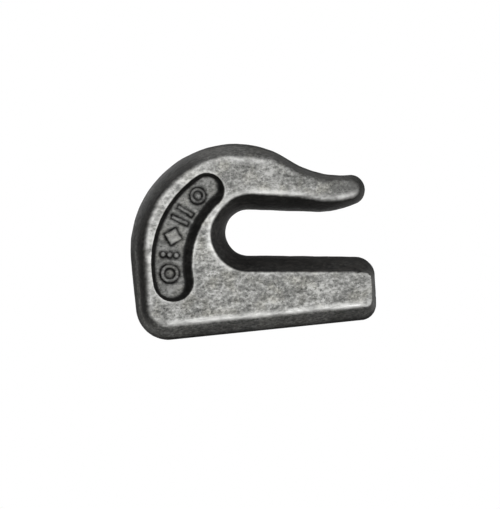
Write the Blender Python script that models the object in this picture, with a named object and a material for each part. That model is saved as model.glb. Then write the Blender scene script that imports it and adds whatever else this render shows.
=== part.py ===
# Weld-on grab hook for a trailer's safety chain, drop forged in one piece.
# X runs along the weld base towards the mouth of the slot, Y through the thickness, Z up from the base.
# The origin is on the weld base, in the middle of the length and of the thickness.
import bpy
import bmesh
from math import acos, atan2, ceil, cos, pi, radians, sin, sqrt, tan
from mathutils import Vector

MM = 0.001

# Overall sizes
BODY_LENGTH = 58.6 * MM
BODY_HEIGHT = 45.9 * MM
BODY_THICKNESS = 17.0 * MM

# Back, crown and weld corners
BACK_RADIUS = 25.8 * MM
CREST_RADIUS = 23.5 * MM
HEEL_RADIUS = 8.0 * MM
TOE_RADIUS = 3.9 * MM
LIP_RADIUS = 4.8 * MM
LIP_TURN = radians(35.0)
TOE_TURN = radians(-50.0)
END_LEAN = radians(3.0)

# Chain slot
SLOT_WIDTH = 11.2 * MM
SLOT_HEIGHT = 24.0 * MM
SPINE_WIDTH = 23.5 * MM
FLOOR_SLOPE = radians(6.5)
ROOF_SLOPE = radians(7.9)

# Tongue
TIP_RADIUS = 3.65 * MM
TIP_SETBACK = 0.25 * MM
TIP_RISE = 2.0 * MM
BELLY_RADIUS = 23.0 * MM
VALLEY_RADIUS = 23.0 * MM
TAPER_LENGTH = 18.0 * MM
TAPER_BLEND = 6.0 * MM
TAPER_ANGLE = radians(12.0)

# Side walls: how far each one draws in from the parting line to the face, the height of its flat land
# on each side of the parting line, and how much it bulges (1 is a straight bevel)
BASE_WALL = (2.95 * MM, 3.0 * MM, 1.3)
END_WALL = (0.8 * MM, 0.6 * MM, 1.8)
SLOT_WALL = (3.8 * MM, 0.6 * MM, 2.2)
ROOT_WALL = (3.2 * MM, 0.6 * MM, 2.2)
TIP_WALL = (3.4 * MM, 0.6 * MM, 1.5)
TONGUE_WALL = (1.8 * MM, 0.6 * MM, 1.2)
CROWN_WALL = (2.3 * MM, 0.6 * MM, 2.0)
BACK_WALL = (3.2 * MM, 3.0 * MM, 1.5)
WALL_LEVELS = (0.0, 0.3, 0.58, 0.82, 1.0)

# Recess in each face
RECESS_DEPTH = 1.4 * MM
RECESS_OUTER_DRAFT = 0.8 * MM
RECESS_INNER_DRAFT = 1.9 * MM
RECESS_FOOT = 14.0 * MM
RECESS_DROP = 6.1 * MM
RECESS_BACK_MARGIN = 4.8 * MM
RECESS_HEEL_MARGIN = 8.8 * MM
RECESS_CROWN_MARGIN = 5.65 * MM
RECESS_ROOT_MARGIN = 4.4 * MM
RECESS_TOP_ANGLE = radians(129.0)
RECESS_TOP_STEP = radians(1.0)
RECESS_END_RADIUS = 2.0 * MM
RECESS_BACK_EASE = 0.2 * MM
RECESS_INNER_RADIUS = 19.8 * MM

# Raised marks on the recess floor: plain shapes, sized as shares of the recess's width
MARK_HEIGHT = 0.5 * MM
MARK_SIZE = 0.62
MARK_STROKE = 0.13
MARK_DOT = 0.09
MARK_GAP = 0.4 * MM
MARK_REACH = {
    "ring": MARK_SIZE / 2.0,
    "bar": MARK_STROKE / 2.0,
    "lozenge": MARK_SIZE / 2.0,
    "dots": MARK_DOT,
}
FRONT_MARKS = (
    (0.12, "ring"),
    (0.30, "bar"),
    (0.40, "bar"),
    (0.56, "lozenge"),
    (0.73, "dots"),
    (0.90, "ring"),
)
BACK_MARKS = ((0.22, "bar"), (0.5, "ring"), (0.78, "bar"))

STEEL_COLOUR = (0.09, 0.09, 0.088)
STEEL_METALLIC = 0.8
STEEL_ROUGHNESS = 0.55

# Fineness of the model
CHORD_ERROR = 0.015 * MM
CUTTER_MARGIN = 2.0 * MM
BLEND_LIFT = 0.05 * MM
TAPER_STEPS = (0.25, 0.5, 0.75, 1.0)
ROUND_SIDES = 16
LOZENGE_SIDES = 4
RECESS_STEPS = 14
SHARP_ANGLE = radians(35.0)


def clear_scene():
    for item in list(bpy.data.objects):
        bpy.data.objects.remove(item, do_unlink=True)


def on_circle(centre, radius, angle):
    return Vector((centre.x + radius * cos(angle), centre.y + radius * sin(angle)))


def arc_angles(radius, start, end):
    step = 2.0 * acos(1.0 - CHORD_ERROR / radius)
    count = max(2, ceil(abs(end - start) / step))
    return [start + (end - start) * i / count for i in range(count + 1)]


def meeting_point(first, first_reach, second, second_reach, side):
    """The point at two given distances from two centres, left (1) or right (-1) of their line."""
    span = (second - first).length
    along = (first_reach ** 2 - second_reach ** 2 + span ** 2) / (2.0 * span)
    across = sqrt(first_reach ** 2 - along ** 2)
    forward = (second - first) / span
    leftward = Vector((-forward.y, forward.x))
    return first + forward * along + leftward * across * side


def direction(start, end):
    return atan2(end.y - start.y, end.x - start.x)


def hook_centres():
    """Centres of the outline's arcs, as (x, z), each one tangent to its neighbours."""
    half = BODY_LENGTH / 2.0
    slot_radius = SLOT_WIDTH / 2.0
    floor_normal = Vector((sin(FLOOR_SLOPE), cos(FLOOR_SLOPE)))
    roof_normal = Vector((sin(ROOF_SLOPE), cos(ROOF_SLOPE)))
    root = Vector((-half + SPINE_WIDTH + slot_radius, SLOT_HEIGHT))
    lip_x = half - LIP_RADIUS
    lip_reach = floor_normal.dot(root) - slot_radius - LIP_RADIUS
    lip_z = (lip_reach - floor_normal.x * lip_x) / floor_normal.y
    toe_shift = LIP_RADIUS - TOE_RADIUS - sin(END_LEAN) * (lip_z - TOE_RADIUS)
    tip_x = half - TIP_SETBACK - TIP_RADIUS
    tip_reach = roof_normal.dot(root) + slot_radius + TIP_RISE + TIP_RADIUS
    tip = Vector((tip_x, (tip_reach - roof_normal.x * tip_x) / roof_normal.y))
    belly_reach = BELLY_RADIUS - TIP_RADIUS
    belly_run = sqrt(belly_reach ** 2 - (belly_reach - TIP_RISE) ** 2)
    along_roof = Vector((cos(ROOF_SLOPE), -sin(ROOF_SLOPE)))
    crest = Vector((-half + BACK_RADIUS, BODY_HEIGHT - CREST_RADIUS))
    return {
        "heel": Vector((-half + HEEL_RADIUS, HEEL_RADIUS)),
        "toe": Vector((lip_x + toe_shift / cos(END_LEAN), TOE_RADIUS)),
        "lip": Vector((lip_x, lip_z)),
        "root": root,
        "tip": tip,
        "belly": tip - along_roof * belly_run + roof_normal * (belly_reach - TIP_RISE),
        "valley": meeting_point(
            crest, CREST_RADIUS + VALLEY_RADIUS, tip, TIP_RADIUS + VALLEY_RADIUS, 1),
        "crest": crest,
        "back": Vector((-half + BACK_RADIUS, BODY_HEIGHT - BACK_RADIUS)),
    }


def hook_outline():
    """Points round the parting line, anticlockwise, as (place, outward direction, wall)."""
    at = hook_centres()
    floor_turn = pi / 2.0 - FLOOR_SLOPE
    roof_turn = pi / 2.0 - ROOF_SLOPE
    tip_start = direction(at["belly"], at["tip"])
    tip_end = direction(at["tip"], at["valley"])
    crest_start = direction(at["crest"], at["valley"])
    arcs = (
        # centre, radius, first and last angle, wall at its start and at its end
        ("toe", TOE_RADIUS, -pi / 2.0, TOE_TURN, BASE_WALL, BASE_WALL),
        ("toe", TOE_RADIUS, TOE_TURN, -END_LEAN, BASE_WALL, END_WALL),
        ("lip", LIP_RADIUS, -END_LEAN, 0.0, END_WALL, END_WALL),
        ("lip", LIP_RADIUS, 0.0, LIP_TURN, END_WALL, SLOT_WALL),
        ("lip", LIP_RADIUS, LIP_TURN, floor_turn, SLOT_WALL, SLOT_WALL),
        ("root", SLOT_WIDTH / 2.0, floor_turn + pi, pi, SLOT_WALL, ROOT_WALL),
        ("root", SLOT_WIDTH / 2.0, pi, roof_turn, ROOT_WALL, SLOT_WALL),
        ("belly", BELLY_RADIUS, roof_turn - pi, tip_start, SLOT_WALL, SLOT_WALL),
        ("tip", TIP_RADIUS, tip_start, 0.0, SLOT_WALL, TIP_WALL),
        ("tip", TIP_RADIUS, 0.0, tip_end, TIP_WALL, TONGUE_WALL),
        ("valley", VALLEY_RADIUS, tip_end - pi, crest_start - pi, TONGUE_WALL, TONGUE_WALL),
        ("crest", CREST_RADIUS, crest_start, pi / 2.0, TONGUE_WALL, CROWN_WALL),
        ("back", BACK_RADIUS, pi / 2.0, 3.0 * pi / 4.0, CROWN_WALL, BACK_WALL),
        ("back", BACK_RADIUS, 3.0 * pi / 4.0, pi, BACK_WALL, BACK_WALL),
        ("heel", HEEL_RADIUS, pi, 3.0 * pi / 2.0, BACK_WALL, BASE_WALL),
    )
    outline = []
    for name, radius, start, end, first_wall, last_wall in arcs:
        outward = 1.0 if end > start else -1.0
        for angle in arc_angles(radius, start, end):
            share = (angle - start) / (end - start)
            ease = share * share * (3.0 - 2.0 * share)
            wall = [a + (b - a) * ease for a, b in zip(first_wall, last_wall)]
            place = on_circle(at[name], radius, angle)
            if outline and (outline[-1][0] - place).length < CHORD_ERROR:
                continue
            outline.append((place, Vector((cos(angle), sin(angle))) * outward, wall))
    return outline


def section_levels(wall):
    """Set-in and height pairs from the parting line up to the face."""
    set_in, land, bulge = wall
    rise = BODY_THICKNESS / 2.0 - land
    return [(set_in * level ** bulge, land + rise * level) for level in WALL_LEVELS]


def forged_steel(colour):
    material = bpy.data.materials.new("forged_steel")
    material.use_nodes = True
    shader = material.node_tree.nodes["Principled BSDF"]
    shader.inputs["Base Color"].default_value = (*colour, 1.0)
    shader.inputs["Metallic"].default_value = STEEL_METALLIC
    shader.inputs["Roughness"].default_value = STEEL_ROUGHNESS
    return material


def place_object(name, builder):
    mesh = bpy.data.meshes.new(name)
    bmesh.ops.recalc_face_normals(builder, faces=builder.faces[:])
    builder.to_mesh(mesh)
    builder.free()
    item = bpy.data.objects.new(name, mesh)
    bpy.context.scene.collection.objects.link(item)
    return item


def place_cutter(name, builder):
    cutter = place_object(name, builder)
    cutter.hide_render = True
    cutter.display_type = "WIRE"
    return cutter


def loft(builder, loops, joined=False):
    """Skin between loops of equal length: capped at both ends, or joined from the last to the first."""
    rows = [[builder.verts.new(point) for point in loop] for loop in loops]
    pairs = list(zip(rows, rows[1:]))
    if joined:
        pairs.append((rows[-1], rows[0]))
    else:
        builder.faces.new(rows[0][::-1])
        builder.faces.new(rows[-1])
    for low, high in pairs:
        for i in range(len(low)):
            j = (i + 1) % len(low)
            builder.faces.new((low[i], low[j], high[j], high[i]))


def make_body():
    outline = hook_outline()
    sections = [section_levels(wall) for _, _, wall in outline]
    front = []
    for level in range(len(WALL_LEVELS)):
        loop = []
        for (place, outward, _), section in zip(outline, sections):
            set_in, height = section[level]
            inner = place - outward * set_in
            loop.append(Vector((inner.x, -height, inner.y)))
        front.append(loop)
    rear = [[Vector((p.x, -p.y, p.z)) for p in loop] for loop in front]
    builder = bmesh.new()
    loft(builder, rear[::-1] + front)
    body = place_object("forged_hook", builder)
    body.data.materials.append(forged_steel(STEEL_COLOUR))
    return body


# The wedge that thins the tongue towards its tip; side is -1 on the front face and 1 on the rear
def taper_cutter(side):
    face = BODY_THICKNESS / 2.0
    outside = face + CUTTER_MARGIN
    start = BODY_LENGTH / 2.0 - TAPER_LENGTH
    far = BODY_LENGTH / 2.0 + CUTTER_MARGIN
    slope = tan(TAPER_ANGLE)
    profile = [(start, outside), (start, face + BLEND_LIFT)]
    for share in TAPER_STEPS:
        profile.append((start + TAPER_BLEND * share, face - slope * TAPER_BLEND * share ** 2 / 2.0))
    profile.append((far, face - slope * (far - start - TAPER_BLEND / 2.0)))
    profile.append((far, outside))
    heights = (SLOT_HEIGHT, BODY_HEIGHT + CUTTER_MARGIN)
    builder = bmesh.new()
    loft(builder, [[Vector((x, y * side, z)) for x, y in profile] for z in heights])
    return place_cutter("tongue_taper_cutter", builder)


def recess_low_end(outer_draft, inner_draft):
    """Centre and radius of the recess's lower round end, drawn in from the rim by the drafts."""
    back_margin = RECESS_BACK_MARGIN + outer_draft
    heel_margin = RECESS_HEEL_MARGIN + inner_draft
    radius = (SPINE_WIDTH - back_margin - heel_margin) / 2.0
    foot = max(RECESS_FOOT, BODY_HEIGHT - BACK_RADIUS - RECESS_DROP)
    return Vector((-BODY_LENGTH / 2.0 + back_margin + radius, foot)), radius


def recess_high_end(angle, outer_draft, inner_draft):
    """The same for the upper end, between the slot and the back at an angle round the root."""
    at = hook_centres()
    crown_margin = RECESS_CROWN_MARGIN + outer_draft
    root_margin = RECESS_ROOT_MARGIN + inner_draft
    ray = Vector((cos(angle), sin(angle)))
    offset = at["root"] - at["back"]
    slot_radius = SLOT_WIDTH / 2.0
    across = offset.dot(ray)
    reach = sqrt(across ** 2 - offset.length_squared + BACK_RADIUS ** 2) - across
    radius = (reach - slot_radius - crown_margin - root_margin) / 2.0
    return at["root"] + ray * (slot_radius + root_margin + radius), radius


def recess_top_angle():
    """The upper end slides back round the slot until its floor has room to end in a full radius."""
    angle = RECESS_TOP_ANGLE
    while recess_high_end(angle, RECESS_OUTER_DRAFT, RECESS_INNER_DRAFT)[1] < RECESS_END_RADIUS:
        angle += RECESS_TOP_STEP
    return angle


def recess_arcs(outer_draft, inner_draft):
    """Kidney-shaped outline as (centre, radius, first angle, last angle); the third arc is hollow."""
    low, low_radius = recess_low_end(outer_draft, inner_draft)
    high, high_radius = recess_high_end(recess_top_angle(), outer_draft, inner_draft)
    outer_radius = BACK_RADIUS - RECESS_BACK_EASE - outer_draft
    inner_radius = RECESS_INNER_RADIUS + inner_draft
    outer = meeting_point(low, outer_radius - low_radius, high, outer_radius - high_radius, -1)
    inner = meeting_point(low, inner_radius + low_radius, high, inner_radius + high_radius, -1)
    outer_low = direction(outer, low) % (2.0 * pi)
    outer_high = direction(outer, high) % (2.0 * pi)
    inner_low = direction(inner, low) % (2.0 * pi)
    inner_high = direction(inner, high) % (2.0 * pi)
    return (
        (outer, outer_radius, outer_high, outer_low),
        (low, low_radius, outer_low, inner_low + pi),
        (inner, inner_radius, inner_low, inner_high),
        (high, high_radius, inner_high - pi, outer_high),
    )


def recess_cutter(side):
    face = BODY_THICKNESS / 2.0
    loops = []
    for depth in (RECESS_DEPTH, 0.0, -CUTTER_MARGIN):
        share = max(0.0, depth / RECESS_DEPTH)
        arcs = recess_arcs(RECESS_OUTER_DRAFT * share, RECESS_INNER_DRAFT * share)
        loop = []
        for centre, radius, start, end in arcs:
            for i in range(RECESS_STEPS):
                point = on_circle(centre, radius, start + (end - start) * i / RECESS_STEPS)
                loop.append(Vector((point.x, (face - depth) * side, point.y)))
        loops.append(loop)
    builder = bmesh.new()
    loft(builder, loops)
    return place_cutter("recess_cutter", builder)


def recess_station(share):
    """Middle of the recess floor, its across direction and its width, a share of the way down."""
    arcs = recess_arcs(RECESS_OUTER_DRAFT, RECESS_INNER_DRAFT)
    outer, outer_radius, top, foot = arcs[0]
    inner, inner_radius, inner_foot, inner_top = arcs[2]
    back = on_circle(outer, outer_radius, top + (foot - top) * share)
    front = on_circle(inner, inner_radius, inner_top + (inner_foot - inner_top) * share)
    return (back + front) / 2.0, (front - back).normalized(), (front - back).length


def round_loop(radius, sides):
    middle = Vector((0.0, 0.0))
    return [on_circle(middle, radius, 2.0 * pi * i / sides) for i in range(sides)]


def bar_loop(length, width):
    corners = ((-1, -1), (1, -1), (1, 1), (-1, 1))
    return [Vector((x * length / 2.0, y * width / 2.0)) for x, y in corners]


def mark_loops(kind, width):
    """One raised mark's flat outlines, across and along the recess: (place, outer loop, inner loop)."""
    size = MARK_SIZE * width
    stroke = MARK_STROKE * width
    middle = Vector((0.0, 0.0))
    if kind == "ring":
        outer = round_loop(size / 2.0, ROUND_SIDES)
        return [(middle, outer, round_loop(size / 2.0 - stroke, ROUND_SIDES))]
    if kind == "bar":
        return [(middle, bar_loop(size, stroke), None)]
    if kind == "lozenge":
        return [(middle, round_loop(size / 2.0, LOZENGE_SIDES), None)]
    dot = MARK_DOT * width
    spread = Vector((size / 2.0 - dot, 0.0))
    return [(spread * shift, round_loop(dot, ROUND_SIDES), None) for shift in (-1, 0, 1)]


def marks_scale(marks):
    """The largest scale, up to full size, at which neighbouring marks keep clear of each other."""
    scale = 1.0
    for (first_share, first_kind), (second_share, second_kind) in zip(marks, marks[1:]):
        first, _, first_width = recess_station(first_share)
        second, _, second_width = recess_station(second_share)
        needed = MARK_REACH[first_kind] * first_width + MARK_REACH[second_kind] * second_width
        scale = min(scale, ((second - first).length - MARK_GAP) / needed)
    return scale


def marks_solid(side, marks):
    floor = BODY_THICKNESS / 2.0 - RECESS_DEPTH
    scale = marks_scale(marks)
    builder = bmesh.new()
    for share, kind in marks:
        centre, across, width = recess_station(share)
        along = Vector((-across.y, across.x))
        for place, outer, inner in mark_loops(kind, width * scale):
            tall = (floor - MARK_HEIGHT, floor + MARK_HEIGHT)
            levels = [(outer, tall[0]), (outer, tall[1])]
            if inner:
                levels += [(inner, tall[1]), (inner, tall[0])]
            loops = []
            for loop, height in levels:
                spots = [centre + across * (place + p).x + along * (place + p).y for p in loop]
                loops.append([Vector((spot.x, height * side, spot.y)) for spot in spots])
            loft(builder, loops, joined=inner is not None)
    return place_cutter("recess_marks", builder)


def cut_away(item, tool):
    step = item.modifiers.new(tool.name, "BOOLEAN")
    step.object = tool
    step.operation = "DIFFERENCE"
    step.solver = "EXACT"


def main():
    clear_scene()
    body = make_body()
    for side, marks in ((-1, FRONT_MARKS), (1, BACK_MARKS)):
        recess = recess_cutter(side)
        cut_away(recess, marks_solid(side, marks))
        cut_away(body, taper_cutter(side))
        cut_away(body, recess)
    body.data.shade_smooth()
    body.data.set_sharp_from_angle(angle=SHARP_ANGLE)


main()
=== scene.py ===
# Weld-on grab hook for a trailer's safety chain, as it comes from the forge:
# blasted faces with a bright grain, dark scale left on the side walls, a sunk panel in each face.
import math
import bpy
import bmesh
import numpy as np
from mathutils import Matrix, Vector, noise
from mathutils.geometry import delaunay_2d_cdt


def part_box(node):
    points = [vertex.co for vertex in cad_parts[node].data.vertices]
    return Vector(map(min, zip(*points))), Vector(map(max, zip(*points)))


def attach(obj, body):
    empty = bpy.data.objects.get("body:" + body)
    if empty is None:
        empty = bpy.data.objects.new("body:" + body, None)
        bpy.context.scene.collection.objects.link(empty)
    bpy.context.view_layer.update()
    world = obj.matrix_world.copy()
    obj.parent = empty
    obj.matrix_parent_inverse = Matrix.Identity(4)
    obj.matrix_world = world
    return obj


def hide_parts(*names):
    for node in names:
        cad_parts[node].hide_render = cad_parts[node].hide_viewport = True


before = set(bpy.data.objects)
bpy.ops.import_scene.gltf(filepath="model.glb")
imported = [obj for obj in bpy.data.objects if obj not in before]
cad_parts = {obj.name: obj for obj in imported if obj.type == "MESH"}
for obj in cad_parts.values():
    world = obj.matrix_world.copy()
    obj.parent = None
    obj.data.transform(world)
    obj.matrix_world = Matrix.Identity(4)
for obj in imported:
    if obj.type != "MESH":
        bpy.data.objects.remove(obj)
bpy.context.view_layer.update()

mm = 0.001
hookLow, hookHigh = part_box("forged_hook")

# Sizes in millimetres, the same as the forging's
hook = {
    "length": (hookHigh[0] - hookLow[0]) / mm,
    "height": (hookHigh[2] - hookLow[2]) / mm,
    "thickness": (hookHigh[1] - hookLow[1]) / mm,
    "shoulderHeight": 20.1,
    "crestRadius": 23.5,
    "heelRadius": 8.0,
    "toeRadius": 3.9,
    "toeTurn": -50.0,       # where the base wall starts to run out into the leg's end, degrees
    "lipRadius": 4.8,
    "lipTurn": 35.0,        # where the leg's end becomes the slot's mouth
    "endLean": 3.0,         # the leg's end leans back by this angle
    "slotWidth": 11.2,
    "slotHeight": 24.0,
    "spineWidth": 23.5,
    "floorSlope": 6.5,
    "roofSlope": 7.9,
    "upperTurn": 132.0,     # where the slot's root turns into its upper part
    "tipRadius": 3.65,
    "tipSetback": 0.25,
    "tipRise": 2.0,
    "bellyRadius": 23.0,
    "valleyRadius": 23.0,
    "browTurn": 80.0,       # where the brow, the shoulder and the back have their own walls
    "shoulderTurn": 118.0,
    "backTurn": 156.0,
    "taperLength": 18.0,    # the tongue thins over this length
    "taperBlend": 6.0,
    "taperAngle": 12.0,
    "thinLand": 0.6,        # half the flat at the parting line, and half the land to weld on
    "weldLand": 3.0,
    "landTrim": 0.8,        # how much lower the flash is trimmed on the lands
    "flashHeight": 0.5,     # half the trimmed flash's width
    "flashProud": 0.10,
    "flashFoot": 1.3,       # the wall starts at this share of the flash's height
    "flashWaver": (0.7, 0.35),      # how strongly and how quickly the flash changes round the hook
    "flashSection": ((0.0, 1.0), (0.7, 1.0), (0.93, 0.9), (1.08, 0.0)),     # height, proud
    "edgeWander": (0.10, 0.55),     # how far and how quickly the face's edge wanders
    "edgeShares": (0.12, 0.26, 0.4, 0.55, 0.7, 0.85, 1.0),
    "rimWidth": 1.3,        # how far a rubbed edge and its painted highlight fade onto the face
    # how bright the rub and its painted highlight are on the face beside its edge
    "rimRubAndHighlight": 0.9,
    "wallSteps": 17,
    "wallCrowding": 0.9,    # below one the rings lie closer towards the face
    "spacing": 0.40,        # mesh fineness along the outline
    "closest": 0.08,
    "wallBlend": 4,         # stations on each side that a wall's values are averaged with
    "faceSpacing": 0.44,
}

# Stripes of painted shade and painted highlight along a wall; place and width are shares of the wall's
# set-in
stripes = {
    # painted shade along the parting line
    "outlineShade": 0.85,
    "outlineWidth": 0.17,
    # a paler stripe that is a painted highlight
    "sheenPlace": 0.37,
    "sheenWidth": 0.13,
    # a dark line of painted shade below the face's edge
    "linePlace": 0.75,
    "lineWidth": 0.2,
    # painted shade on the wall, strongest at the flash and fading towards the face
    "shadeAtFlash": 1.1,
    "shadeFade": 0.4,
    "shadeFadeEnd": 0.85,
    "shadeOnEdge": 0.7,      # what is left of the painted shade and of the painted dark line on the rounded edge
    "lineOnEdge": 0.8,
    "edgeFade": 1.4,
    "rubAndHighlightStart": 0.25,       # the rounded edge is rubbed, with a painted highlight, from this share of its bend on
}

# Side walls, each with its shape, its finish and its painted light. Shape: how far the wall is set in at
# the face, half its flat at the parting line, how much its section bulges, and its rounding onto the
# face.
# Finish: scale, rub with a painted highlight on the edge, painted shade, paler middle stripe of painted
# highlight, dark line of painted shade below the edge
walls = {
    "base": (3.0, 3.0, 1.3, 0.7, 0.66, 1.0, 0.10, 0.15, 0.0),
    "end": (0.7, 0.6, 1.8, 0.35, 0.70, 0.15, 0.15, 0.0, 0.0),
    "mouth": (3.6, 0.6, 2.2, 0.35, 0.94, 0.1, 0.30, 0.0, 0.0),
    "floor": (3.85, 0.6, 2.2, 0.35, 1.0, 0.2, 0.90, 0.0, 0.0),
    "root": (3.55, 0.6, 2.2, 0.38, 0.97, 0.8, 0.60, 0.0, 0.0),
    "upperRoot": (2.9, 0.6, 2.2, 0.5, 0.97, 0.9, 0.70, 0.0, 0.0),
    "roof": (3.73, 0.6, 2.2, 0.38, 1.0, 0.55, 1.0, 0.0, 0.0),
    "belly": (3.25, 0.6, 2.2, 0.8, 1.0, 0.5, 1.0, 0.0, 0.0),
    "tip": (2.1, 0.6, 1.5, 0.7, 0.9, 0.0, 0.55, 0.0, 0.0),
    "tongue": (1.4, 0.6, 1.2, 1.0, 0.74, 0.0, 0.2, 0.0, 0.0),
    "brow": (2.75, 0.6, 2.0, 1.4, 0.64, 0.4, 0.10, 0.1, 0.05),
    "crown": (2.55, 0.6, 2.0, 0.65, 0.62, 0.3, 0.10, 0.1, 0.05),
    "shoulder": (3.1, 0.6, 1.8, 0.9, 0.97, 0.35, 0.6, 0.05, 0.15),
    "back": (3.38, 3.0, 1.5, 0.95, 0.97, 0.4, 0.25, 0.36, 0.6),
    "lowBase": (3.15, 3.0, 1.3, 0.8, 0.52, 0.75, 0.0, 0.1, 0.0),
    "lowBack": (2.7, 3.0, 1.5, 0.95, 0.97, 0.4, 0.25, 0.36, 0.5),
}

panel = {
    "depth": 1.4,
    "outerDraft": 0.8,      # how far the walls lean in from rim to floor, at the back and the slot side
    "innerDraft": 1.9,
    "foot": 14.0,           # height of the lower end's middle
    "backMargin": 4.8,      # steel left between the rim and the hook's own outline
    "heelMargin": 8.8,
    "crownMargin": 5.65,
    "rootMargin": 4.4,
    "topAngle": 129.0,
    "outerRadius": 25.6,
    "innerRadius": 19.8,
    "endSteepness": 0.28,   # the two ends move in by this share of the slot side's lean
    "topReach": 14.0,       # distance that turns the upper end's move into an angle
    "spacing": 0.30,
    # rings from outside the rim, at nought, down the wall to the floor, at one
    "rimShares": (-0.08, -0.04, 0.0, 0.05, 0.11, 0.2, 0.34, 0.5, 0.66, 0.8, 0.9, 0.98, 1.06, 1.15),
    "rimSharpness": 34.0,
    "rimWidth": 1.2,
    # painted highlight round the panel's rim, partly rubbed wear
    "rimRubAndHighlight": 0.25,
    "ridgeRubAndHighlight": 0.6,          # the painted highlight on the ridge just outside the rim, partly rubbed wear
    "ridgePlace": -0.12,
    "ridgeWidth": 0.14,
    "scaleFades": (6.0, 1.3, 4.0),      # how quickly it comes on the wall, where it ends, how quickly
    # painted shade on the panel's walls comes on and ends the same way
    "shadeFades": (4.0, 1.5, 2.5),
    # painted shade darkening the panel's walls and its floor
    "darkeningOnset": 3.0,
    "wallShade": 0.9,
    "floorShade": 0.55,      # painted shade on the floor beside the walls
    "shadeWidth": 0.9,
    # painted shade over the whole floor of the panel
    "floorDarkening": 0.5,
    "floorSpacing": 0.32,
}

# Raised marks on the panel floor: share of the way down, kind
marks = {
    "front": (
        (0.12, "ring"), (0.30, "bar"), (0.40, "bar"),
        (0.56, "lozenge"), (0.73, "dots"), (0.90, "ring"),
    ),
    "rear": ((0.22, "bar"), (0.5, "ring"), (0.78, "bar")),
    "height": 0.5,
    "size": 0.62,           # size, stroke and dot are shares of the panel's width
    "stroke": 0.13,
    "dot": 0.09,
    "edge": 0.16,           # how soft a mark's edge is
    # painted highlight on the marks' tops, and painted shade round their feet
    "topHighlight": 0.12,
    "topHighlightInset": 0.02,
    "topHighlightRun": 0.12,
    "shadeAmount": 0.95,
    "shadePlace": 0.12,
    "shadeWidth": 0.8,
    "spacing": 0.13,
    "fineReach": 0.28,      # the floor's mesh is finer this far on each side of a mark's edge
}


def onCircle(centre, radius, angle):
    return centre + radius * np.array((math.cos(angle), math.sin(angle)))


def heading(start, end):
    return math.atan2(end[1] - start[1], end[0] - start[0])


def meetingPoint(first, firstReach, second, secondReach, side):
    span = np.linalg.norm(second - first)
    along = (firstReach ** 2 - secondReach ** 2 + span ** 2) / (2.0 * span)
    across = math.sqrt(firstReach ** 2 - along ** 2)
    forward = (second - first) / span
    return first + forward * along + np.array((-forward[1], forward[0])) * across * side


def hookCentres():
    half = hook["length"] / 2.0
    slotRadius = hook["slotWidth"] / 2.0
    floorSlope = math.radians(hook["floorSlope"])
    roofSlope = math.radians(hook["roofSlope"])
    lean = math.radians(hook["endLean"])
    floorNormal = np.array((math.sin(floorSlope), math.cos(floorSlope)))
    roofNormal = np.array((math.sin(roofSlope), math.cos(roofSlope)))
    backRadius = hook["height"] - hook["shoulderHeight"]
    root = np.array((-half + hook["spineWidth"] + slotRadius, hook["slotHeight"]))
    lipX = half - hook["lipRadius"]
    lipReach = floorNormal @ root - slotRadius - hook["lipRadius"]
    lipZ = (lipReach - floorNormal[0] * lipX) / floorNormal[1]
    toeShift = hook["lipRadius"] - hook["toeRadius"] - math.sin(lean) * (lipZ - hook["toeRadius"])
    tipX = half - hook["tipSetback"] - hook["tipRadius"]
    tipReach = roofNormal @ root + slotRadius + hook["tipRise"] + hook["tipRadius"]
    tip = np.array((tipX, (tipReach - roofNormal[0] * tipX) / roofNormal[1]))
    bellyReach = hook["bellyRadius"] - hook["tipRadius"]
    bellyRun = math.sqrt(bellyReach ** 2 - (bellyReach - hook["tipRise"]) ** 2)
    alongRoof = np.array((math.cos(roofSlope), -math.sin(roofSlope)))
    crest = np.array((-half + backRadius, hook["height"] - hook["crestRadius"]))
    crestReach = hook["crestRadius"] + hook["valleyRadius"]
    tipValley = hook["tipRadius"] + hook["valleyRadius"]
    return {
        "heel": np.array((-half + hook["heelRadius"], hook["heelRadius"])),
        "toe": np.array((lipX + toeShift / math.cos(lean), hook["toeRadius"])),
        "lip": np.array((lipX, lipZ)),
        "root": root,
        "tip": tip,
        "belly": tip - alongRoof * bellyRun + roofNormal * (bellyReach - hook["tipRise"]),
        "valley": meetingPoint(crest, crestReach, tip, tipValley, 1),
        "crest": crest,
        "back": np.array((-half + backRadius, hook["shoulderHeight"])),
    }


def easeInOut(share):
    share = np.clip(share, 0.0, 1.0)
    return share * share * (3.0 - 2.0 * share)


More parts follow.
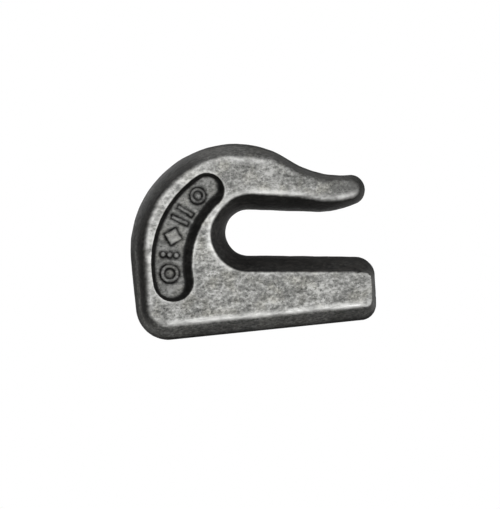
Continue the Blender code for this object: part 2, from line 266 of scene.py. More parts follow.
# Stations round the parting line: place, outward direction and wall values
def hookOutline():
    at = hookCentres()
    backRadius = hook["height"] - hook["shoulderHeight"]
    floorTurn = math.pi / 2.0 - math.radians(hook["floorSlope"])
    roofTurn = math.pi / 2.0 - math.radians(hook["roofSlope"])
    lean = -math.radians(hook["endLean"])
    toeTurn = math.radians(hook["toeTurn"])
    lipTurn = math.radians(hook["lipTurn"])
    tipStart = heading(at["belly"], at["tip"])
    tipEnd = heading(at["tip"], at["valley"])
    crestStart = heading(at["crest"], at["valley"])
    browTurn = math.radians(hook["browTurn"])
    upperTurn = math.radians(hook["upperTurn"])
    shoulderTurn = math.radians(hook["shoulderTurn"])
    backTurn = math.radians(hook["backTurn"])
    arcs = (
        ("toe", hook["toeRadius"], -math.pi / 2.0, toeTurn, "base", "base"),
        ("toe", hook["toeRadius"], toeTurn, lean, "base", "end"),
        ("lip", hook["lipRadius"], lean, 0.0, "end", "end"),
        ("lip", hook["lipRadius"], 0.0, lipTurn, "end", "mouth"),
        ("lip", hook["lipRadius"], lipTurn, floorTurn, "mouth", "mouth"),
        ("root", hook["slotWidth"] / 2.0, floorTurn + math.pi, math.pi, "floor", "root"),
        ("root", hook["slotWidth"] / 2.0, math.pi, upperTurn, "root", "upperRoot"),
        ("root", hook["slotWidth"] / 2.0, upperTurn, roofTurn, "upperRoot", "roof"),
        ("belly", hook["bellyRadius"], roofTurn - math.pi, tipStart, "belly", "belly"),
        ("tip", hook["tipRadius"], tipStart, 0.0, "belly", "tip"),
        ("tip", hook["tipRadius"], 0.0, tipEnd, "tip", "tongue"),
        ("valley", hook["valleyRadius"], tipEnd - math.pi, crestStart - math.pi, "tongue", "tongue"),
        ("crest", hook["crestRadius"], crestStart, browTurn, "tongue", "brow"),
        ("crest", hook["crestRadius"], browTurn, math.pi / 2.0, "brow", "crown"),
        ("back", backRadius, math.pi / 2.0, shoulderTurn, "crown", "shoulder"),
        ("back", backRadius, shoulderTurn, backTurn, "shoulder", "shoulder"),
        ("back", backRadius, backTurn, math.pi, "shoulder", "back"),
        ("heel", hook["heelRadius"], math.pi, 3.0 * math.pi / 2.0, "lowBack", "lowBase"),
    )
    corners = []
    for name, radius, start, end, firstWall, lastWall in arcs:
        outward = 1.0 if end > start else -1.0
        count = max(2, math.ceil(abs(end - start) * radius / hook["spacing"]))
        for i in range(count + 1):
            share = i / count
            angle = start + (end - start) * share
            first = np.array(walls[firstWall])
            last = np.array(walls[lastWall])
            wall = first + (last - first) * easeInOut(share)
            facing = np.array((math.cos(angle), math.sin(angle))) * outward
            corners.append(np.concatenate((onCircle(at[name], radius, angle), facing, wall)))
    stations = []
    for here, after in zip(corners, corners[1:] + corners[:1]):
        gap = np.linalg.norm(after[:2] - here[:2])
        steps = max(1, round(gap / hook["spacing"]))
        if gap > hook["closest"]:
            stations += [here + (after - here) * i / steps for i in range(steps)]
    stations = np.array(stations)
    reach = hook["wallBlend"]
    shifted = [np.roll(stations[:, 4:], shift, axis=0) for shift in range(-reach, reach + 1)]
    stations[:, 4:] = sum(shifted) / len(shifted)
    return stations


# Height of the face above the middle plane; the tongue thins towards its tip
def faceHeight(x, z):
    start = hook["length"] / 2.0 - hook["taperLength"]
    slope = math.tan(math.radians(hook["taperAngle"]))
    run = np.maximum(0.0, x - start)
    blend = hook["taperBlend"]
    drop = np.where(run < blend, slope * run ** 2 / (2.0 * blend), slope * (run - blend / 2.0))
    return hook["thickness"] / 2.0 - np.where(z > hook["slotHeight"], drop, 0.0)


def wallInset(height, wall):
    rise = hook["thickness"] / 2.0 - wall[:, 1]
    level = np.clip((height - wall[:, 1]) / rise, 0.0, None)
    return wall[:, 0] * level ** wall[:, 2]


# Rings of one half of the side wall, from the flash up and over the edge onto the face.
# Each ring is (x, z, height) with the scale, the rub with its painted highlight, and the painted shade
# of its stations.
def wallRings(stations):
    place, facing, wall = stations[:, :2], stations[:, 2:4], stations[:, 4:]
    # per wall: rounding, scale, rub with painted highlight, painted shade, painted highlight stripe,
    # painted shade line
    rounding, coat, wallRubAndHighlight, shaded, sheen, lined = wall[:, 3:].T
    # the edge's height and its set-in hang on each other, and settle in a few rounds
    edge = np.full(len(stations), hook["thickness"] / 2.0)
    for _ in range(12):
        inner = place - facing * wallInset(edge, wall)[:, None]
        edge = faceHeight(inner[:, 0], inner[:, 1])
    step = 0.1
    slope = (wallInset(edge, wall) - wallInset(edge - step, wall)) / step
    shoulder = edge - rounding / np.sqrt(1.0 + slope ** 2)
    flat = np.clip((wall[:, 1] - hook["thinLand"]) / (hook["weldLand"] - hook["thinLand"]), 0.0, 1.0)
    run = np.arange(len(stations)) * hook["spacing"]
    waver, waverPitch = hook["flashWaver"]
    wandering, wanderPitch = hook["edgeWander"]
    ragged = np.array([noise.noise(Vector((s * waverPitch, 3.7, 0.0))) for s in run])
    wander = np.array([noise.noise(Vector((s * wanderPitch, 9.1, 4.0))) for s in run]) * wandering
    proud = hook["flashProud"] * (1.0 - hook["landTrim"] * flat) * (1.0 + waver * ragged)
    rings = []

    def addRing(inset, height, scale, rubAndHighlight, shadeAmount):
        spot = place - facing * (inset + hook["flashProud"] * (1.0 - flat))[:, None]
        rings.append({
            "spot": np.column_stack((spot, height)),
            "scale": scale,
            "rubAndHighlight": wallRubAndHighlight * rubAndHighlight,
            "paintedShade": np.clip(shadeAmount, 0.0, 1.0),
        })

    flash = hook["flashHeight"]
    for height, out in hook["flashSection"]:
        # painted shade at the flash and along the outline
        shadeAmount = np.maximum(shaded * stripes["shadeAtFlash"], stripes["outlineShade"])
        addRing(-proud * out, np.full(len(stations), flash * height), coat, 0.0, shadeAmount)
    start = flash * hook["flashFoot"]
    for level in np.linspace(0.0, 1.0, hook["wallSteps"]) ** hook["wallCrowding"]:
        height = start + (shoulder - start) * level
        inset = wallInset(height, wall) + wander * easeInOut(level)
        across = wallInset(height, wall) / wall[:, 0]
        # painted shade along the outline and in a line below the edge, and a paler stripe of painted
        # highlight
        outline = stripes["outlineShade"] * np.exp(-(across / stripes["outlineWidth"]) ** 2)
        fading = stripes["shadeFade"] * easeInOut(level / stripes["shadeFadeEnd"])
        shadeAmount = np.maximum(shaded * (stripes["shadeAtFlash"] - fading), outline)
        shadeAmount = shadeAmount + lined * np.exp(-((across - stripes["linePlace"]) / stripes["lineWidth"]) ** 2)
        sheenStripe = sheen * np.exp(-((across - stripes["sheenPlace"]) / stripes["sheenWidth"]) ** 2)
        addRing(inset, height, coat * (1.0 - sheenStripe), 0.0, shadeAmount)
    fromPoint = np.column_stack((wallInset(shoulder, wall) + wander, shoulder))
    corner = np.column_stack((wallInset(edge, wall) + wander, edge))
    onFace = corner[:, 0] + rounding
    landed = place - facing * onFace[:, None]
    toPoint = np.column_stack((onFace, faceHeight(landed[:, 0], landed[:, 1])))
    for share in hook["edgeShares"]:
        bend = (1 - share) ** 2 * fromPoint + 2 * share * (1 - share) * corner + share ** 2 * toPoint
        fading = 1.0 - share ** stripes["edgeFade"]
        # painted shade fading over the rounded edge, where the rub and its painted highlight come on
        shadeAmount = (shaded * stripes["shadeOnEdge"] + lined * stripes["lineOnEdge"]) * fading ** 1.5
        rubAndHighlight = easeInOut((share - stripes["rubAndHighlightStart"]) / (1.0 - stripes["rubAndHighlightStart"]))
        addRing(bend[:, 0], bend[:, 1], coat * fading, rubAndHighlight, shadeAmount)
    return rings


def panelEnds(outerDraft, innerDraft):
    at = hookCentres()
    backMargin = panel["backMargin"] + outerDraft
    heelMargin = panel["heelMargin"] + innerDraft
    crownMargin = panel["crownMargin"] + outerDraft
    rootMargin = panel["rootMargin"] + innerDraft
    lowRadius = (hook["spineWidth"] - backMargin - heelMargin) / 2.0
    steeper = innerDraft * panel["endSteepness"]
    low = np.array((-hook["length"] / 2.0 + backMargin + lowRadius, panel["foot"] - steeper))
    angle = math.radians(panel["topAngle"]) - steeper / panel["topReach"]
    ray = np.array((math.cos(angle), math.sin(angle)))
    offset = at["root"] - at["back"]
    backRadius = hook["height"] - hook["shoulderHeight"]
    slotRadius = hook["slotWidth"] / 2.0
    across = offset @ ray
    reach = math.sqrt(across ** 2 - offset @ offset + backRadius ** 2) - across
    highRadius = (reach - slotRadius - crownMargin - rootMargin) / 2.0
    return low, lowRadius, at["root"] + ray * (slotRadius + rootMargin + highRadius), highRadius


# The sunk panel's outline as four arcs: back edge, foot, slot side and top
def panelArcs(outerDraft, innerDraft):
    low, lowRadius, high, highRadius = panelEnds(outerDraft, innerDraft)
    outerRadius = panel["outerRadius"] - outerDraft
    innerRadius = panel["innerRadius"] + innerDraft
    outer = meetingPoint(low, outerRadius - lowRadius, high, outerRadius - highRadius, -1)
    inner = meetingPoint(low, innerRadius + lowRadius, high, innerRadius + highRadius, -1)
    turn = 2.0 * math.pi
    outerLow = heading(outer, low) % turn
    outerHigh = heading(outer, high) % turn
    innerLow = heading(inner, low) % turn
    innerHigh = heading(inner, high) % turn
    return (
        (outer, outerRadius, outerHigh, outerLow),
        (low, lowRadius, outerLow, innerLow + math.pi),
        (inner, innerRadius, innerLow, innerHigh),
        (high, highRadius, innerHigh - math.pi, outerHigh),
    )


def panelLoop(share):
    steps = []
    for _, radius, start, end in panelArcs(0.0, 0.0):
        steps.append(max(6, round(abs(end - start) * radius / panel["spacing"])))
    loop = []
    for (centre, radius, start, end), count in zip(
            panelArcs(panel["outerDraft"] * share, panel["innerDraft"] * share), steps):
        loop += [onCircle(centre, radius, start + (end - start) * i / count) for i in range(count)]
    return np.array(loop)


def panelDepth(share):
    k = panel["rimSharpness"]
    ramp = math.log1p(math.exp(k * share)) - math.log1p(math.exp(k * (share - 1.0)))
    return panel["depth"] * ramp / k


def panelStation(share):
    (outer, outerRadius, top, foot), _, (inner, innerRadius, innerFoot, innerTop), _ = panelArcs(
        panel["outerDraft"], panel["innerDraft"])
    back = onCircle(outer, outerRadius, top + (foot - top) * share)
    front = onCircle(inner, innerRadius, innerTop + (innerFoot - innerTop) * share)
    width = np.linalg.norm(front - back)
    return (back + front) / 2.0, (front - back) / width, width


# Each mark is a list of plain shapes: centre, across, half sizes, kind
def markShapes(side):
    shapes = []
    for share, kind in marks[side]:
        centre, across, width = panelStation(share)
        size = marks["size"] * width
        stroke = marks["stroke"] * width
        if kind == "ring":
            shapes.append((centre, across, size / 2.0 - stroke / 2.0, stroke / 2.0, "ring"))
        elif kind == "bar":
            shapes.append((centre, across, size / 2.0, stroke / 2.0, "bar"))
        elif kind == "lozenge":
            shapes.append((centre, across, size / 2.0, size / 2.0, "lozenge"))
        else:
            dot = marks["dot"] * width
            for shift in (-1, 0, 1):
                shapes.append((centre + across * shift * (size / 2.0 - dot), across, dot, 0.0, "dot"))
    return shapes


# Signed distance from a mark's edge, below nothing inside it
def markDistance(points, shape):
    centre, across, first, second, kind = shape
    along = np.array((-across[1], across[0]))
    offset = points - centre
    u, v = offset @ across, offset @ along
    if kind == "ring":
        return np.abs(np.hypot(u, v) - first) - second
    if kind == "dot":
        return np.hypot(u, v) - first
    if kind == "lozenge":
        return (np.abs(u) + np.abs(v) - first) / math.sqrt(2.0)
    du, dv = np.abs(u) - first, np.abs(v) - second
    return np.hypot(np.maximum(du, 0.0), np.maximum(dv, 0.0)) + np.minimum(np.maximum(du, dv), 0.0)


def nearestMark(points, shapes):
    return np.min([markDistance(points, shape) for shape in shapes], axis=0)


def insidePolygon(points, loop):
    inside = np.zeros(len(points), dtype=bool)
    for a, b in zip(loop, np.roll(loop, -1, axis=0)):
        crosses = (a[1] > points[:, 1]) != (b[1] > points[:, 1])
        slope = (b[0] - a[0]) / (b[1] - a[1] + 1e-12)
        inside ^= crosses & (points[:, 0] < a[0] + slope * (points[:, 1] - a[1]))
    return inside


# Distance to the nearest of the others, and which one it is
def nearestOf(points, others):
    gap = np.empty(len(points))
    which = np.empty(len(points), dtype=int)
    batch = 2000
    for start in range(0, len(points), batch):
        part = points[start:start + batch]
        gaps = np.hypot(part[:, None, 0] - others[None, :, 0], part[:, None, 1] - others[None, :, 1])
        which[start:start + batch] = gaps.argmin(axis=1)
        gap[start:start + batch] = gaps.min(axis=1)
    return gap, which


def hexGrid(low, high, step):
    rows = []
    for j, z in enumerate(np.arange(low[1], high[1], step * math.sqrt(3.0) / 2.0)):
        shift = step / 2.0 if j % 2 else 0.0
        xs = np.arange(low[0] + shift, high[0], step)
        rows.append(np.column_stack((xs, np.full(len(xs), z))))
    return np.concatenate(rows)


# Fills the space between loops with an even net of triangles, without points that crowd the loops or
# the extra, finer points; returns the new points and the triangles
def fillBetween(loops, step, extra=None):
    outer = loops[0]
    fixed = np.concatenate(loops)
    grid = hexGrid(outer.min(axis=0), outer.max(axis=0), step)
    if extra is not None:
        grid = grid[nearestOf(grid, extra)[0] > step * 0.5]
        grid = np.concatenate((grid, extra))
    grid = grid[insidePolygon(grid, outer)]
    for hole in loops[1:]:
        grid = grid[~insidePolygon(grid, hole)]
    grid = grid[nearestOf(grid, fixed)[0] > step * 0.6]
    points = np.concatenate((fixed, grid))
    edges = []
    start = 0
    for loop in loops:
        edges += [(start + i, start + (i + 1) % len(loop)) for i in range(len(loop))]
        start += len(loop)
    found = delaunay_2d_cdt([Vector(p) for p in points], edges, [], 0, 1e-6)
    origin = [group[0] for group in found[3]]
    triangles = np.array([[origin[i] for i in face] for face in found[2]])
    middles = points[triangles].mean(axis=1)
    keep = insidePolygon(middles, outer)
    for hole in loops[1:]:
        keep &= ~insidePolygon(middles, hole)
    return grid, triangles[keep]


# Gathers the hook's points, their scale, rub with painted highlight, painted shade and darkening values,
# and the faces in one list each
class Forging:
    def __init__(self):
        self.spots = []
        self.surfaceMasks = []
        self.faces = []
        self.count = 0

    def addPoints(self, spots, scale, rubAndHighlight, paintedShade, darkened=0.0):
        first = self.count
        n = len(spots)
        given = (scale, rubAndHighlight, paintedShade, darkened)
        values = [np.broadcast_to(np.asarray(value, dtype=float), (n,)) for value in given]
        self.spots.append(spots)
        self.surfaceMasks.append(np.column_stack(values))
        self.count += n
        return np.arange(first, first + n)

    def bridge(self, low, high):
        lowNext, highNext = np.roll(low, -1), np.roll(high, -1)
        self.faces += [tuple(int(i) for i in quad) for quad in zip(low, lowNext, highNext, high)]


# Where the faces are darker: painted shade on the tongue, which slopes away towards its tip, and plain
# darkening at the leg's end and on the crown. How much, where it starts and over what length; on the
# tongue and the leg along the hook, and on the crown upwards, forward of the last two values
darkening = {
    "tongue": (0.46, 12.0, 13.0),
    "tongueTip": (0.42, 23.0, 4.0),
    "legEnd": (0.16, 14.0, 8.0),
    "crown": (0.18, 29.0, 5.0),
    "crownStart": -10.0,
    "crownRun": 8.0,
}


def faceDarkening(points):
    x, z = points[:, 0], points[:, 1]
    above = z > hook["slotHeight"]

    def growing(name, along):
        amount, start, run = darkening[name]
        return amount * easeInOut((along - start) / run)

    tongue = growing("tongue", x) * above
    crown = growing("crown", z) * easeInOut((x - darkening["crownStart"]) / darkening["crownRun"])
    crown = crown * (1.0 - tongue / darkening["tongue"][0])
    return tongue + growing("tongueTip", x) * above + crown + growing("legEnd", x) * ~above


# Scale and painted shade come on quickly below the panel's rim and go again on its floor
def panelFade(name, onWall, share):
    onset, end, run = panel[name]
    return easeInOut(onWall * onset) * easeInOut((end - share) * run)


# One face of the hook with its sunk panel, from the last wall ring inwards.
# Side is -1 in front and 1 behind
def addFace(forging, lastRing, edgeRubAndHighlight, side, name):
    edgeSpots = np.concatenate(forging.spots)[lastRing]
    edgeLoop = edgeSpots[:, [0, 2]]
    loops = []
    for share in panel["rimShares"]:
        loop = panelLoop(share)
        depth = panelDepth(share)
        height = faceHeight(loop[:, 0], loop[:, 1]) - depth
        spots = np.column_stack((loop[:, 0], height * side, loop[:, 1]))
        onWall = depth / panel["depth"]
        scale = panelFade("scaleFades", onWall, share)
        # painted highlight on the ridge outside the rim, painted shade on the walls, and painted shade
        # over the floor
        rubAndHighlight = panel["ridgeRubAndHighlight"] * easeInOut(1.0 - abs(share - panel["ridgePlace"]) / panel["ridgeWidth"])
        paintedShade = panel["wallShade"] * panelFade("shadeFades", onWall, share)
        darkened = panel["floorDarkening"] * easeInOut(onWall * panel["darkeningOnset"])
        loops.append((loop, forging.addPoints(spots, scale, rubAndHighlight, paintedShade, darkened)))
    for (_, low), (_, high) in zip(loops, loops[1:]):
        forging.bridge(low, high)
    # the flat of the face, between its rounded edge and the panel's rim
    rimLoop, rimPoints = loops[0]
    grid, triangles = fillBetween([edgeLoop, rimLoop], hook["faceSpacing"])
    spots = np.column_stack((grid[:, 0], faceHeight(grid[:, 0], grid[:, 1]) * side, grid[:, 1]))
    edgeGap, nearest = nearestOf(grid, edgeLoop)
    rimGap = nearestOf(grid, rimLoop)[0]
    # the rub and its painted highlight beside the face's edge, and a painted highlight round the panel's
    # rim
    faceEdgeRubAndHighlight = edgeRubAndHighlight[nearest] * (1.0 - easeInOut(edgeGap / hook["rimWidth"])) * hook["rimRubAndHighlight"]
    panelRimHighlight = panel["rimRubAndHighlight"] * (1.0 - easeInOut(rimGap / panel["rimWidth"]))
    inner = forging.addPoints(spots, 0.0, np.maximum(faceEdgeRubAndHighlight, panelRimHighlight), 0.0, faceDarkening(grid))
    names = np.concatenate((lastRing, rimPoints, inner))
    forging.faces += [tuple(int(i) for i in face) for face in names[triangles]]
    # the panel's floor with its raised marks
    shapes = markShapes(name)
    floorLoop, floorPoints = loops[-1]
    fine = hexGrid(floorLoop.min(axis=0), floorLoop.max(axis=0), marks["spacing"])
    gap = nearestMark(fine, shapes)
    fine = fine[np.abs(gap) < marks["fineReach"]]
    grid, triangles = fillBetween([floorLoop], panel["floorSpacing"], fine)
    gap = nearestMark(grid, shapes)
    rise = marks["height"] * easeInOut(0.5 - gap / (2.0 * marks["edge"]))
    height = faceHeight(grid[:, 0], grid[:, 1]) - panelDepth(panel["rimShares"][-1]) + rise
    spots = np.column_stack((grid[:, 0], height * side, grid[:, 1]))
    wallGap = nearestOf(grid, floorLoop)[0]
    # painted shade round the marks' feet and beside the walls, and painted highlight on the marks' tops
    markShade = marks["shadeAmount"] * easeInOut(1.0 - np.abs(gap - marks["shadePlace"]) / marks["shadeWidth"])
    wallShade = panel["floorShade"] * (1.0 - easeInOut(wallGap / panel["shadeWidth"]))
    rubAndHighlight = marks["topHighlight"] * easeInOut((-gap - marks["topHighlightInset"]) / marks["topHighlightRun"])
    floor = forging.addPoints(spots, 0.0, rubAndHighlight, np.maximum(markShade, wallShade), panel["floorDarkening"])
    names = np.concatenate((floorPoints, floor))
    forging.faces += [tuple(int(i) for i in face) for face in names[triangles]]


# Slow swells from the hammer, and small pits where scale was struck into the face.
# Each kind of relief has its pitch, its depth in millimetres and its shift in the noise
relief = {
    "swell": (0.16, 0.07, (0.0, 0.0, 0.0)),
    "ripple": (0.42, 0.03, (5.0, 2.0, 9.0)),
    "grain": (1.3, 0.022, (1.0, 8.0, 3.0)),
    "pit": (0.95, 0.3, (31.0, 7.0, 11.0)),
    "pitStart": 0.42,
    "wallCalm": 0.4,        # the swells are this much weaker on the walls
    "groundRun": 0.4,       # the relief grows over this height, so that the base stands flat
}


def reliefNoise(name, spot):
    pitch, depth, shift = relief[name]
    return noise.noise(spot * pitch + Vector(shift)) * depth


def forgedRelief(spot, onWall):
    swell = reliefNoise("swell", spot) + reliefNoise("ripple", spot)
    pitDepth = relief["pit"][1]
    pit = -max(0.0, reliefNoise("pit", spot) - relief["pitStart"] * pitDepth)
    return swell * (1.0 - relief["wallCalm"] * onWall) + reliefNoise("grain", spot) + pit


def makeHook():
    stations = hookOutline()
    rings = wallRings(stations)
    forging = Forging()
    for side, name in ((-1, "front"), (1, "rear")):
        previous = None
        for i, ring in enumerate(rings):
            x, z, height = ring["spot"].T
            if i == 0 and side == 1:
                points = np.arange(len(stations))
            else:
                spots = np.column_stack((x, height * side, z))
                darkened = faceDarkening(ring["spot"][:, :2])
                points = forging.addPoints(spots, ring["scale"], ring["rubAndHighlight"], ring["paintedShade"], darkened)
            if previous is not None:
                forging.bridge(previous, points)
            previous = points
        addFace(forging, previous, rings[-1]["rubAndHighlight"], side, name)
        print("hook: one half laid out,", forging.count, "points")
    spots = np.concatenate(forging.spots)
    surfaceMasks = np.concatenate(forging.surfaceMasks)
    mesh = bpy.data.meshes.new("hookForging")
    mesh.from_pydata((spots * mm).tolist(), [], forging.faces)
    builder = bmesh.new()
    builder.from_mesh(mesh)
    bmesh.ops.recalc_face_normals(builder, faces=builder.faces[:])
    builder.to_mesh(mesh)
    builder.free()
    normals = np.zeros(len(spots) * 3)
    mesh.vertex_normals.foreach_get("vector", normals)
    normals = normals.reshape(-1, 3)
    onGround = np.clip(1.0 - np.abs(spots[:, 2]) / relief["groundRun"], 0.0, 1.0)
    coats = surfaceMasks[:, 0].tolist()
    lift = np.array([forgedRelief(Vector(spot), coat) for spot, coat in zip(spots.tolist(), coats)])
    spots = spots + normals * (lift * (1.0 - onGround))[:, None]
    spots[:, 2] = np.maximum(spots[:, 2], 0.0)
    mesh.vertices.foreach_set("co", (spots * mm).ravel())
    # scale, rub with painted highlight, painted shade, and darkening that is painted shade on the tongue
    # and the panel floor
    for index, name in enumerate(("scaleCoat", "rubAndHighlightMask", "shadeMask", "faceDarkened")):
        layer = mesh.attributes.new(name, "FLOAT", "POINT")
        layer.data.foreach_set("value", surfaceMasks[:, index].astype(np.float32))
    mesh.update()
    mesh.shade_smooth()
    item = bpy.data.objects.new("hookForging", mesh)
    bpy.context.scene.collection.objects.link(item)
    print("hook: forging made,", len(mesh.polygons), "faces")
    return item


steel = {
    "faceDark": (0.092, 0.092, 0.089, 1.0),
    "faceMiddle": (0.215, 0.216, 0.207, 1.0),
    "faceLight": (0.44, 0.44, 0.428, 1.0),
    # the darkened face: painted shade on the tongue and the panel floor
    "faceDarkened": (0.066, 0.066, 0.064, 1.0),
    "warmTint": (1.0, 0.985, 0.93, 1.0),
    "scaleBlack": (0.006, 0.006, 0.0065, 1.0),
    "scaleGrey": (0.045, 0.043, 0.040, 1.0),
    # bare steel on rubbed edges, and the painted highlight
    "brightSteel": (0.60, 0.60, 0.588, 1.0),
    # dirt in the face's pits, and the painted shade
    "dirtAndShadeBrown": (0.0035, 0.0033, 0.003, 1.0),
    # patterns: fineness, detail, roughness and stretch; the grain is about two thirds of a millimetre
    "grain": (1500.0, 4.0, 0.6, (0.72, 1.0, 1.0)),
    "patch": (420.0, 3.0, 0.55, (0.5, 1.0, 1.2)),
    "cloud": (95.0, 3.0, 0.6),
    "speck": (2300.0, 2.0, 0.5),
    "streak": (900.0, 4.0, 0.6, (0.22, 1.0, 1.0)),
    "hue": (260.0, 2.0, 0.5),
    "usual": (0.3, 0.7),                # most of a pattern lies between these
    # what the patterns add up to: the face's tone, the flaked edge of the scale, and its tone
    "faceTone": {"grain": 0.55, "patch": 0.30, "cloud": 0.15},
    "flakes": {"patch": 0.16, "streak": 0.12},
    "scaleTone": {"streak": 0.6, "grain": 0.4},
    "bumps": {"grain": 0.7, "patch": 0.6, "speck": 0.25},
    "faceStops": (0.25, 0.5, 0.76),     # where the greys lie on each tone
    "scaleStops": (0.38, 0.66),
    # a pattern's range and what it turns into
    "warmPlaces": (0.45, 0.7, 0.0, 0.8),
    "dirtyPits": (0.60, 0.70, 0.0, 0.6),
    # patches that break up the rub with its painted highlight, and the painted shade
    "rubAndHighlightPatches": (0.32, 0.6, 0.4, 1.2),
    "shadePatches": (0.44, 0.62, 1.15, 0.6),
    "shadeMix": (0.6, 0.4),
    "metal": (0.8, 0.15),               # bare, and under scale or painted shade
    "roughness": (0.46, 0.66),
    "rubSmoothing": 0.12,
    "gloss": 0.15,
    "bumpStrength": 0.55,
    "bumpDepth": 0.00022,
}


# Small helpers for wiring the steel's nodes
class NodeBench:
    def __init__(self, tree):
        self.tree = tree

    def add(self, kind, **settings):
        node = self.tree.nodes.new(kind)
        for name, value in settings.items():
            setattr(node, name, value)
        return node

    def join(self, source, target):
        self.tree.links.new(source, target)

    def noise(self, vector, scale, detail, roughness, stretch=None):
        if stretch is not None:
            mapping = self.add("ShaderNodeMapping")
            mapping.inputs["Scale"].default_value = stretch
            self.join(vector, mapping.inputs["Vector"])
            vector = mapping.outputs["Vector"]
        node = self.add("ShaderNodeTexNoise")
        node.inputs["Scale"].default_value = scale
        node.inputs["Detail"].default_value = detail
        node.inputs["Roughness"].default_value = roughness
        self.join(vector, node.inputs["Vector"])
        return node.outputs["Fac"]

    def math(self, operation, first, second=None, clamp=False):
        node = self.add("ShaderNodeMath", operation=operation, use_clamp=clamp)
        for socket, value in zip(node.inputs, (first, second)):
            if value is None:
                continue
            if isinstance(value, (int, float)):
                socket.default_value = value
            else:
                self.join(value, socket)
        return node.outputs[0]

    # Adds up the named values, each by its share
    def addUp(self, values, shares):
        total = None
        for name, share in shares.items():
            part = self.math("MULTIPLY", values[name], share)
            total = part if total is None else self.math("ADD", total, part)
        return total

    def spread(self, value, low, high, newLow=0.0, newHigh=1.0, smooth=False):
        node = self.add("ShaderNodeMapRange")
        node.interpolation_type = "SMOOTHSTEP" if smooth else "LINEAR"
        self.join(value, node.inputs["Value"])
        node.inputs["From Min"].default_value = low
        node.inputs["From Max"].default_value = high
        node.inputs["To Min"].default_value = newLow
        node.inputs["To Max"].default_value = newHigh
        return node.outputs["Result"]

    def blendColour(self, amount, first, second, mode="MIX"):
        node = self.add("ShaderNodeMix", data_type="RGBA", blend_type=mode)
        slots = [socket for socket in node.inputs if socket.type == "RGBA"]
        given = ((node.inputs[0], amount), (slots[0], first), (slots[1], second))
        for socket, value in given:
            if isinstance(value, (int, float, tuple)):
                socket.default_value = value
            else:
                self.join(value, socket)
        return [socket for socket in node.outputs if socket.type == "RGBA"][0]

    def ramp(self, value, stops):
        node = self.add("ShaderNodeValToRGB")
        band = node.color_ramp
        while len(band.elements) < len(stops):
            band.elements.new(0.5)
        for element, (place, colour) in zip(band.elements, stops):
            element.position = place
            element.color = colour
        self.join(value, node.inputs["Fac"])
        return node.outputs["Color"]

    def mask(self, name):
        node = self.add("ShaderNodeAttribute", attribute_name=name, attribute_type="GEOMETRY")
        return node.outputs["Fac"]


def makeForgedSteel():
    material = bpy.data.materials.new("blastedForgedSteel")
    material.use_nodes = True
    bench = NodeBench(material.node_tree)
    shader = material.node_tree.nodes["Principled BSDF"]
    place = bench.add("ShaderNodeTexCoord").outputs["Object"]
    names = ("grain", "patch", "cloud", "speck", "streak", "hue")
    patterns = {name: bench.noise(place, *steel[name]) for name in names}
    spreadOut = {name: bench.spread(patterns[name], *steel["usual"]) for name in steel["faceTone"]}
    flaked = {name: bench.spread(patterns[name], *steel["usual"], -1.0, 1.0) for name in steel["flakes"]}

    # bare face: grain, patches and clouds added up, then turned into greys
    tone = bench.addUp(spreadOut, steel["faceTone"])
    greys = (steel["faceDark"], steel["faceMiddle"], steel["faceLight"])
    face = bench.ramp(tone, tuple(zip(steel["faceStops"], greys)))
    # darkened where painted shade falls on the tongue and the panel floor
    face = bench.blendColour(bench.mask("faceDarkened"), face, steel["faceDarkened"])
    warmth = bench.spread(patterns["hue"], *steel["warmPlaces"], smooth=True)
    warmFace = bench.blendColour(1.0, face, steel["warmTint"], "MULTIPLY")
    face = bench.blendColour(warmth, face, warmFace)
    pits = bench.spread(patterns["speck"], *steel["dirtyPits"])
    face = bench.blendColour(pits, face, steel["dirtAndShadeBrown"])

    # mill scale on the walls, flaked and streaked
    flakes = bench.addUp(flaked, steel["flakes"])
    coat = bench.mask("scaleCoat")
    covered = bench.math("MULTIPLY", coat, bench.math("ADD", 1.0, flakes), clamp=True)
    scaleTone = bench.addUp(patterns, steel["scaleTone"])
    scaleGreys = (steel["scaleBlack"], steel["scaleGrey"])
    scale = bench.ramp(scaleTone, tuple(zip(steel["scaleStops"], scaleGreys)))
    colour = bench.blendColour(covered, face, scale)

    # edges rubbed bright with a painted highlight, and painted shade in the slot, the panel and round
    # the marks, broken up in patches
    rubAndHighlightBreakup = bench.spread(patterns["patch"], *steel["rubAndHighlightPatches"])
    rubAndHighlight = bench.math("MULTIPLY", bench.mask("rubAndHighlightMask"), rubAndHighlightBreakup, clamp=True)
    colour = bench.blendColour(rubAndHighlight, colour, steel["brightSteel"])
    fromScale, fromPatch = steel["shadeMix"]
    shadeMottle = bench.math("MULTIPLY", scaleTone, fromScale)
    shadeMottle = bench.math("ADD", shadeMottle, bench.math("MULTIPLY", patterns["patch"], fromPatch))
    patchyShade = bench.spread(shadeMottle, *steel["shadePatches"])
    paintedShade = bench.math("MULTIPLY", bench.mask("shadeMask"), patchyShade, clamp=True)
    colour = bench.blendColour(paintedShade, colour, steel["dirtAndShadeBrown"])
    bench.join(colour, shader.inputs["Base Color"])

    # metal is hidden under the scale and under the painted shade
    hidden = bench.math("MAXIMUM", covered, paintedShade)
    bench.join(bench.spread(hidden, 0.0, 1.0, *steel["metal"]), shader.inputs["Metallic"])
    rough = bench.spread(patterns["grain"], *steel["usual"], *steel["roughness"])
    rough = bench.math("SUBTRACT", rough, bench.math("MULTIPLY", rubAndHighlight, steel["rubSmoothing"]))
    bench.join(rough, shader.inputs["Roughness"])
    shader.inputs["Specular IOR Level"].default_value = steel["gloss"]

    bumps = bench.addUp(patterns, steel["bumps"])
    bump = bench.add("ShaderNodeBump")
    bump.inputs["Strength"].default_value = steel["bumpStrength"]
    bump.inputs["Distance"].default_value = steel["bumpDepth"]
    bench.join(bumps, bump.inputs["Height"])
    bench.join(bump.outputs["Normal"], shader.inputs["Normal"])
    print("steel: finish wired,", len(material.node_tree.nodes), "nodes")
    return material


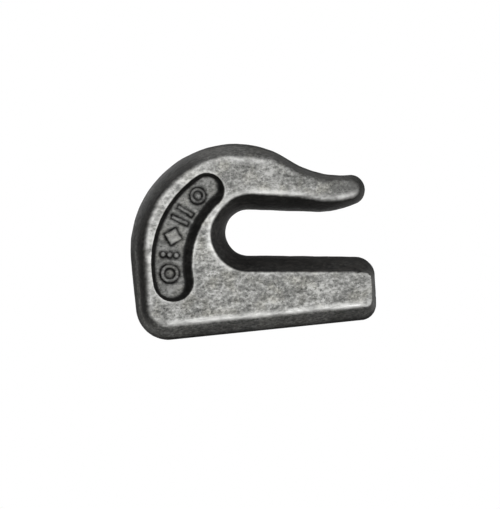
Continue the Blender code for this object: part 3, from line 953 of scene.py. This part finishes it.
studio = {
    "floorColour": (0.80, 0.80, 0.79, 1.0),
    "floorSize": 6.0,
    "floorMottle": (14.0, 2.0, 0.5),
    "floorRoughness": (0.7, 0.8),
    "floorDrop": 0.0001,    # the floor lies this much below the hook
    "farGlow": 0.6,         # keeps the floor pale beyond the lamps' reach
    "glowStart": 0.15,
    "glowFull": 1.8,
    "surround": 0.22,       # light from all round
    "backdrop": 1.0,        # how bright the surround looks behind the floor, and below its far edge
    "belowFloor": 0.9,
    "horizon": (-0.03, -0.01),
    "lamps": (
        # name, place in metres, size, watts
        ("frontSoftbox", (0.05, -0.95, 0.42), 0.55, 6.6),
        ("rightLowSoftbox", (0.75, -0.62, 0.12), 0.40, 4.3),
        ("topSoftbox", (-0.22, 0.08, 0.95), 0.60, 4.5),
        ("backSoftbox", (-0.45, 0.85, 0.45), 0.60, 2.4),
    ),
    "cameraTurn": 5.879,    # the hook is seen turned by this many degrees
    "cameraWidth": 0.12376,
    "cameraAim": (-0.00037, 0.0, 0.01865),
    "cameraAway": 4.0,
    "cameraStart": 0.01,
}


def makeStudio():
    builder = bmesh.new()
    bmesh.ops.create_grid(builder, x_segments=8, y_segments=8, size=studio["floorSize"])
    mesh = bpy.data.meshes.new("studioFloor")
    builder.to_mesh(mesh)
    builder.free()
    floor = bpy.data.objects.new("studioFloor", mesh)
    floor.location = (0.0, 0.0, hookLow[2] - studio["floorDrop"])
    bpy.context.scene.collection.objects.link(floor)
    paint = bpy.data.materials.new("palePaint")
    paint.use_nodes = True
    bench = NodeBench(paint.node_tree)
    shader = paint.node_tree.nodes["Principled BSDF"]
    mottle = bench.noise(bench.add("ShaderNodeTexCoord").outputs["Object"], *studio["floorMottle"])
    mottle = bench.spread(mottle, *steel["usual"], *studio["floorRoughness"])
    bench.join(mottle, shader.inputs["Roughness"])
    shader.inputs["Base Color"].default_value = studio["floorColour"]
    away = bench.add("ShaderNodeVectorMath", operation="LENGTH")
    bench.join(bench.add("ShaderNodeTexCoord").outputs["Object"], away.inputs[0])
    reach = (studio["glowStart"], studio["glowFull"])
    farGlow = bench.spread(away.outputs["Value"], *reach, 0.0, studio["farGlow"], smooth=True)
    bench.join(farGlow, shader.inputs["Emission Strength"])
    shader.inputs["Emission Color"].default_value = (1.0, 1.0, 1.0, 1.0)
    mesh.materials.append(paint)

    for name, place, size, watts in studio["lamps"]:
        lamp = bpy.data.lights.new(name, "AREA")
        lamp.shape = "SQUARE"
        lamp.size = size
        lamp.energy = watts
        item = bpy.data.objects.new(name, lamp)
        item.location = place
        item.visible_camera = False
        aim = Vector(studio["cameraAim"]) - Vector(place)
        item.rotation_euler = aim.to_track_quat("-Z", "Y").to_euler()
        bpy.context.scene.collection.objects.link(item)

    world = bpy.data.worlds.new("studioSurround")
    bpy.context.scene.world = world
    world.use_nodes = True
    bench = NodeBench(world.node_tree)
    backdrop = world.node_tree.nodes["Background"]
    seen = bench.add("ShaderNodeLightPath").outputs["Is Camera Ray"]
    direction = bench.add("ShaderNodeSeparateXYZ")
    bench.join(bench.add("ShaderNodeTexCoord").outputs["Generated"], direction.inputs[0])
    shades = (studio["belowFloor"], studio["backdrop"])
    shown = bench.spread(direction.outputs["Z"], *studio["horizon"], *shades)
    glow = bench.math("MULTIPLY", seen, bench.math("SUBTRACT", shown, studio["surround"]))
    bench.join(bench.math("ADD", glow, studio["surround"]), backdrop.inputs["Strength"])
    backdrop.inputs["Color"].default_value = (1.0, 1.0, 1.0, 1.0)
    bpy.context.scene.view_settings.view_transform = "Standard"

    lens = bpy.data.cameras.new("studioCamera")
    lens.type = "ORTHO"
    lens.ortho_scale = studio["cameraWidth"]
    lens.clip_start = studio["cameraStart"]
    camera = bpy.data.objects.new("studioCamera", lens)
    x, y, z = studio["cameraAim"]
    camera.location = (x, y - studio["cameraAway"], z)
    camera.rotation_euler = (math.pi / 2.0, math.radians(studio["cameraTurn"]), 0.0)
    bpy.context.scene.collection.objects.link(camera)
    bpy.context.scene.camera = camera
    print("studio: floor, lamps and camera in place")


makeStudio()
hookForging = makeHook()
hookForging.data.materials.append(makeForgedSteel())
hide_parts("forged_hook")
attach(hookForging, "root")
